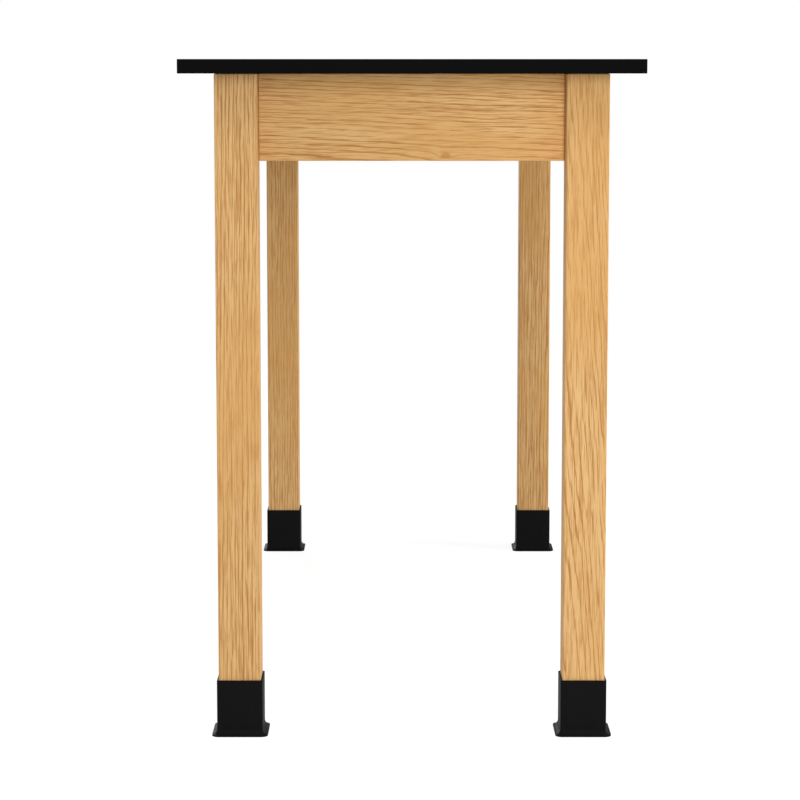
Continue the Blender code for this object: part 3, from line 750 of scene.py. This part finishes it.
stem = {
    "sides": 36,
    "ball": ((0.0025, 0.0026), (0.0027, 0.0038), (0.0034, 0.0046), (0.0042, 0.0048), (0.005, 0.0046)),
    "ballTop": (0.0056, 0.004),
    "neck": 0.003,
    "neckBottom": 0.0059,
    "hexFlats": 0.0142,
    "hexRound": 0.0069,
    "hexBottom": 0.0088,
    "hexTop": 0.0138,
    "hexEase": 0.0006,
    "hexSeat": 0.97,
    "thread": {"minor": 0.0041, "major": 0.00475, "pitch": 0.0015875},
    "threadStart": 0.0002,
    "endEase": 0.0006,
}
# from the sole over the rim and the ribbed cone down into the socket
foot = {
    "sides": 64,
    "sole": ((0.0003, 0.004), (0.0003, 0.0098), (0.0, 0.0103), (0.0, 0.0151), (0.00015, 0.0156), (0.0006, 0.016)),
    "rim": ((0.002, 0.016), (0.0024, 0.0158), (0.0026, 0.0153)),
    "cone": ((0.0028, 0.0146), (0.0033, 0.014), (0.0069, 0.0102), (0.0075, 0.0094), (0.0079, 0.0089)),
    "coneRibs": (0.0, 1.0, 1.0, 0.5, 0.0),
    "hub": ((0.0083, 0.0087), (0.0085, 0.0084), (0.0085, 0.0038), (0.0083, 0.0034), (0.0064, 0.0034)),
    "socket": ((0.0062, 0.0036), (0.0061, 0.005), (0.0024, 0.005), (0.0022, 0.0047)),
    "ribs": 8,
    "ribHeight": 0.0009,
    "ribWidth": 0.14,
}
insert = {
    "sides": 48,
    "flange": 0.0105,
    "flangeHeight": 0.0016,
    "flangeEase": 0.0002,
    "flangeInset": 0.0005,
    "bore": 0.00505,
    "mouth": 0.0008,
    "thread": {"minor": 0.0061, "major": 0.0069, "pitch": 0.0026},
    "threadEnds": (0.0006, 0.0012),
    "endEase": 0.0004,
}


def makeStemMesh(top):
    sides = stem["sides"]
    neck = stem["neck"]
    low, high, ease = stem["hexBottom"], stem["hexTop"], stem["hexEase"]
    flats, cornerRound = stem["hexFlats"], stem["hexRound"]
    root = stem["thread"]["minor"]
    rings = turned(sides, stem["ball"], (stem["ballTop"], (stem["neckBottom"], neck), (low, neck)))
    rings.append(ringOf(low, sides, cornerRound * stem["hexSeat"]))
    rings.append(ringOf(low + ease, sides, hexOutline(flats)))
    rings.append(ringOf(high - ease, sides, hexOutline(flats)))
    rings.append(ringOf(high, sides, hexOutline(flats, cornerRound)))
    rings.append(ringOf(high, sides, root))
    rings += threadRings(high + stem["threadStart"], top - stem["endEase"], stem["thread"], sides)
    rings.append(ringOf(top, sides, root - stem["endEase"]))
    return meshFrom("glide_stem", lambda bm: skin(bm, rings, False))


def makeFootMesh():
    def ribbed(radius, share):
        def radiusAt(angle):
            turn = angle * foot["ribs"] / (2 * math.pi) % 1.0
            return radius + share * foot["ribHeight"] * (1.0 if abs(turn - 0.5) < foot["ribWidth"] else 0.0)

        return radiusAt

    sides = foot["sides"]
    rings = turned(sides, foot["sole"], foot["rim"])
    rings += [ringOf(z, sides, ribbed(radius, share)) for (z, radius), share in zip(foot["cone"], foot["coneRibs"])]
    rings += turned(sides, foot["hub"], foot["socket"])
    return meshFrom("glide_foot", lambda bm: skin(bm, rings, False))


def makeInsertMesh(low, high):
    # flange below, coarse wood thread round the body, and a bore for the stem
    sides = insert["sides"]
    flange = insert["flange"]
    seat = low + insert["flangeHeight"]
    bore = insert["bore"]
    mouth = insert["mouth"]
    ease = insert["flangeEase"]
    body = insert["thread"]["minor"]
    start, stop = insert["threadEnds"]
    under = ((low, bore + mouth), (low, flange - insert["flangeInset"]), (low + 2 * ease, flange))
    over = ((seat - ease, flange), (seat, flange - ease), (seat, body))
    rings = turned(sides, under, over)
    rings += threadRings(seat + start, high - stop, insert["thread"], sides)
    rings += turned(sides, ((high, body - insert["endEase"]), (high, bore), (low + mouth, bore)))
    return meshFrom("threaded_insert", lambda bm: skin(bm, rings, True))


_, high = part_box("glide_stem_front_left")
stemMesh = makeStemMesh(high.z)
footMesh = makeFootMesh()
low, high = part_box("threaded_insert_front_left")
insertMesh = makeInsertMesh(low.z, high.z)
for corner in cornerSides:
    low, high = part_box("glide_foot_" + corner)
    place = Matrix.Translation(((low.x + high.x) / 2, (low.y + high.y) / 2, 0))
    piece = addPiece("stem_screw_" + corner, stemMesh, zincSteel, "stem_" + corner, place)
    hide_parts("glide_stem_" + corner)
    piece = addPiece("ribbed_foot_" + corner, footMesh, blackNylon, "foot_" + corner, place)
    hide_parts("glide_foot_" + corner)
    piece = addPiece("flanged_insert_" + corner, insertMesh, zincSteel, "table", place)
    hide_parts("threaded_insert_" + corner)
print("levelling glides made")

# Hanger bolts with a wood thread in the leg, and flanged nuts on the corner braces

bolt = {
    "sides": 24,
    "start": -0.00055,
    "point": 0.0003,
    "pointLength": 0.006,
    "wood": {"minor": 0.0027, "major": 0.0039, "pitch": 0.0032},
    "woodEnds": (0.0062, 0.032),
    "plain": 0.0036,
    "plainEnds": (0.0328, 0.0395),
    "machine": {"minor": 0.0032, "major": 0.0039, "pitch": 0.00141},
    "machineStart": 0.04,
    "tip": 0.08488,
    "tipEase": (0.0008, 0.0005),
}
# pairs are a height or depth and the radius there
nut = {
    "sides": 48,
    "distance": 0.07088,
    "height": 0.0075,
    "flats": 0.0127,
    "seat": 0.0082,
    "seatRise": 0.0003,
    "flange": 0.00875,
    "flangeEdge": 0.0011,
    "slope": (0.0004, 0.0085),
    "hexStart": (0.0011, 0.0076),
    "hexEnd": (0.0007, 0.0064),
    "bore": 0.0041,
    "boreTop": (0.0006, 0.0048),
    "boreBottom": (0.0005, 0.0046),
}
boltTurns = {"lower": 0.35, "upper": 1.9}


def makeBoltMesh():
    sides = bolt["sides"]
    start, tip = bolt["start"], bolt["tip"]
    woodStart, woodEnd = bolt["woodEnds"]
    tipLength, tipStep = bolt["tipEase"]
    rings = turned(sides, ((start, bolt["point"]), (start + bolt["pointLength"], bolt["wood"]["minor"])))
    rings += threadRings(start + woodStart, woodEnd, bolt["wood"], sides)
    rings += [ringOf(z, sides, bolt["plain"]) for z in bolt["plainEnds"]]
    rings += threadRings(bolt["machineStart"], tip - tipLength, bolt["machine"], sides)
    rings.append(ringOf(tip, sides, bolt["machine"]["minor"] - tipStep))
    return meshFrom("hanger_bolt", lambda bm: skin(bm, rings, False))


def makeNutMesh():
    sides = nut["sides"]
    edge, height, flats = nut["flangeEdge"], nut["height"], nut["flats"]
    flange, bore = nut["flange"], nut["bore"]
    slopeRise, slopeRadius = nut["slope"]
    startRise, startRound = nut["hexStart"]
    endDrop, endRound = nut["hexEnd"]
    topDepth, topMouth = nut["boreTop"]
    bottomDepth, bottomMouth = nut["boreBottom"]
    base = ((0.0, nut["seat"]), (nut["seatRise"], flange), (edge, flange), (edge + slopeRise, slopeRadius))
    rings = turned(sides, base)
    rings.append(ringOf(edge + startRise, sides, hexOutline(flats, startRound)))
    rings.append(ringOf(height - endDrop, sides, hexOutline(flats)))
    rings.append(ringOf(height, sides, hexOutline(flats, endRound)))
    rings += turned(sides, ((height, topMouth), (height - topDepth, bore), (bottomDepth, bore), (0.0, bottomMouth)))
    return meshFrom("flange_nut", lambda bm: skin(bm, rings, True))


boltMesh = makeBoltMesh()
nutMesh = makeNutMesh()
for corner, (sideX, sideY) in cornerSides.items():
    low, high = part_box("leg_" + corner)
    inward = Vector((-sideX, -sideY, 0)).normalized()
    aim = inward.to_track_quat("Z", "Y").to_matrix().to_4x4()
    for level, turn in boltTurns.items():
        boltLow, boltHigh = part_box(f"hanger_bolt_{corner}_{level}")
        axis = Vector(((low.x + high.x) / 2, (low.y + high.y) / 2, (boltLow.z + boltHigh.z) / 2))
        place = Matrix.Translation(axis) @ aim @ Matrix.Rotation(turn * (2 + sideX), 4, "Z")
        piece = addPiece(f"threaded_bolt_{corner}_{level}", boltMesh, zincSteel, "table", place)
        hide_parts(f"hanger_bolt_{corner}_{level}")
        place = Matrix.Translation(axis + inward * nut["distance"]) @ aim @ Matrix.Rotation(turn + sideY, 4, "Z")
        piece = addPiece(f"hex_nut_{corner}_{level}", nutMesh, zincSteel, "table", place)
        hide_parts(f"flange_nut_{corner}_{level}")
print("hanger bolts and nuts made")

# Cross-headed wood screws of the braces and the top clips

# dome gives heights and shares of the head's radius
screw = {
    "sides": 48,
    "headRadius": 0.0044,
    "dome": ((0.0, 0.96), (0.0003, 1.0), (0.0007, 1.0), (0.0013, 0.94), (0.0019, 0.8), (0.0022, 0.66), (0.0024, 0.54)),
    "recess": (0.0022, 0.0006, 0.0014),
    "recessTaper": 0.6,
    "shank": 0.0021,
    "length": 0.0145,
    "tip": 0.0003,
    "tipLength": 0.004,
    "turns": {"end": 0.4, "side": 0.9, "clip": 0.6},
    "braceDistance": 0.056,
    "braceHeights": (-0.025, 0.025),
    "braceFace": 0.0028,
    "clipDistance": 0.0138,
    "clipThickness": 0.002,
}


def makeScrewMesh():
    long, wide, deep = screw["recess"]

    def cross(scale):
        def radiusAt(angle):
            off = abs((angle + math.pi / 4) % (math.pi / 2) - math.pi / 4)
            return scale * min(long / math.cos(off), wide / max(math.sin(off), 1e-6))

        return radiusAt

    sides = screw["sides"]
    radius = screw["headRadius"]
    shank = screw["shank"]
    end = -screw["length"]
    top = screw["dome"][-1][0]
    under = ((end, screw["tip"]), (end + screw["tipLength"], shank), (0.0, shank))
    rings = turned(sides, under, [(z, radius * share) for z, share in screw["dome"]])
    rings += [ringOf(top, sides, cross(1.0)), ringOf(top - deep, sides, cross(screw["recessTaper"]))]
    return meshFrom("wood_screw", lambda bm: skin(bm, rings, False))


screwMesh = makeScrewMesh()


def addScrew(name, place, direction, turn):
    aim = direction.to_track_quat("Z", "Y").to_matrix().to_4x4()
    matrix = Matrix.Translation(place) @ aim @ Matrix.Rotation(turn, 4, "Z")
    addPiece(name, screwMesh, zincSteel, "table", matrix)


made = 0
turns = screw["turns"]
for corner, (sideX, sideY) in cornerSides.items():
    low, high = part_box("leg_" + corner)
    innerX = min(abs(low.x), abs(high.x))
    innerY = min(abs(low.y), abs(high.y))
    braceLow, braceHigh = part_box("corner_brace_" + corner)
    middle = (braceLow.z + braceHigh.z) / 2
    seat = screw["braceFace"]
    away = screw["braceDistance"]
    for index, rise in enumerate(screw["braceHeights"]):
        # one on the wing along the end apron, one on the wing along the side apron
        endPlace = Vector((sideX * (innerX - away), sideY * (innerY - seat), middle + rise))
        addScrew(f"brace_screw_{corner}_end_{index + 1}", endPlace, Vector((0, -sideY, 0)), turns["end"] + made)
        sidePlace = Vector((sideX * (innerX - seat), sideY * (innerY - away), middle + rise))
        addScrew(f"brace_screw_{corner}_side_{index + 1}", sidePlace, Vector((-sideX, 0, 0)), turns["side"] + made)
        made += 2
for nodeName in sorted(n for n in nodes if n.startswith("top_clip")):
    low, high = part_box(nodeName)
    place = Vector(((low.x + high.x) / 2, (low.y + high.y) / 2, high.z - screw["clipThickness"]))
    if "left" in nodeName or "right" in nodeName:
        place.x = math.copysign(innerX - screw["clipDistance"], place.x)
    else:
        place.y = math.copysign(innerY - screw["clipDistance"], place.y)
    addScrew(nodeName.replace("top_clip", "clip_screw"), place, Vector((0, 0, -1)), turns["clip"] * made)
    made += 1
print("wood screws made:", made)

# Camera at the photograph's place, and plain soft light

camera = {"place": (-0.01568, -4.2826, 0.9037), "pitch": 0.1249, "lens": 121.44, "sensor": 36.0, "reach": 200}
lights = {
    "front_softbox": {"place": (0.42, -5.5, 1.6), "width": 0.7, "height": 2.6, "power": 101.0},
    "side_softbox": {"place": (3.6, -1.15, 1.0), "width": 0.3, "height": 1.2, "power": 30.0},
    "right_softbox": {"place": (3.4, -0.2, 1.4), "width": 1.5, "height": 1.5, "power": 78.0},
    "back_softbox": {"place": (-1.4, 4.6, 1.6), "width": 1.8, "height": 1.8, "power": 75.0},
    "top_softbox": {"place": (0.2, -1.6, 3.6), "width": 1.8, "height": 1.8, "power": 55.0},
}
lightsAim = (0, -0.2, 0.5)
surround = {
    "ambient": 0.34,
    "floorAlbedo": 0.8,
    "floorShown": 0.22,
    "floorGlow": 0.87,
    "floorFade": (1.6, 4.0),
    "floorReach": 14.0,
    "floorSides": 96,
    "floorRoughness": 0.9,
}


def makeCamera():
    data = bpy.data.cameras.new("camera")
    data.lens = camera["lens"]
    data.sensor_width = camera["sensor"]
    data.sensor_fit = "HORIZONTAL"
    data.clip_end = camera["reach"]
    made = bpy.data.objects.new("camera", data)
    made.location = camera["place"]
    made.rotation_euler = (math.pi / 2 - camera["pitch"], 0, 0)
    bpy.context.scene.collection.objects.link(made)
    bpy.context.scene.camera = made


def makeLights():
    target = Vector(lightsAim)
    for name, values in lights.items():
        data = bpy.data.lights.new(name, "AREA")
        data.shape = "RECTANGLE"
        data.size = values["width"]
        data.size_y = values["height"]
        data.energy = values["power"]
        made = bpy.data.objects.new(name, data)
        made.location = values["place"]
        made.rotation_euler = (target - made.location).to_track_quat("-Z", "Y").to_euler()
        bpy.context.scene.collection.objects.link(made)


def seenRays(tree):
    # 1 for rays that show the white background: from the camera, in gloss and through glass
    path = addNode(tree, "ShaderNodeLightPath").outputs
    seen = maths(tree, "MAXIMUM", path["Is Camera Ray"], path["Is Glossy Ray"])
    return maths(tree, "MAXIMUM", seen, path["Is Transmission Ray"])


def makeWorld():
    world = bpy.data.worlds.new("studio")
    bpy.context.scene.world = world
    world.use_nodes = True
    tree = world.node_tree
    background = tree.nodes["Background"]
    background.inputs["Color"].default_value = (1, 1, 1, 1)
    strength = fade(tree, seenRays(tree), 0.0, 1.0, surround["ambient"], 1.0)
    tree.links.new(strength, background.inputs["Strength"])


def makeFloor():
    def build(bm):
        bmesh.ops.create_circle(bm, cap_ends=True, segments=surround["floorSides"], radius=surround["floorReach"])

    floor = bpy.data.objects.new("floor", meshFrom("floor", build))
    bpy.context.scene.collection.objects.link(floor)
    values = {"Specular IOR Level": 0.0, "Roughness": surround["floorRoughness"]}
    material, tree, shader = newMaterial("pale_floor", values)
    coords = addNode(tree, "ShaderNodeTexCoord").outputs["Object"]
    away = addNode(tree, "ShaderNodeVectorMath", {0: coords}, operation="LENGTH").outputs["Value"]
    far = fade(tree, away, *surround["floorFade"])
    seen = seenRays(tree)
    bounce = (surround["floorAlbedo"],) * 3 + (1,)
    shown = (surround["floorShown"],) * 3 + (1,)
    near = mixColor(tree, seen, bounce, shown)
    hidden = maths(tree, "MULTIPLY", seen, far)
    tree.links.new(mixColor(tree, hidden, near, (0, 0, 0, 1)), shader.inputs["Base Color"])
    shader.inputs["Emission Color"].default_value = (1, 1, 1, 1)
    glow = maths(tree, "MULTIPLY", seen, fade(tree, far, 0.0, 1.0, surround["floorGlow"], 1.0))
    tree.links.new(glow, shader.inputs["Emission Strength"])
    below = addNode(tree, "ShaderNodeNewGeometry").outputs["Backfacing"]
    tree.links.new(maths(tree, "SUBTRACT", 1.0, below), shader.inputs["Alpha"])  # open to a look from below
    floor.data.materials.append(material)


makeCamera()
makeLights()
makeWorld()
makeFloor()
bpy.context.scene.view_settings.view_transform = "Standard"
print("camera, lights and floor set")
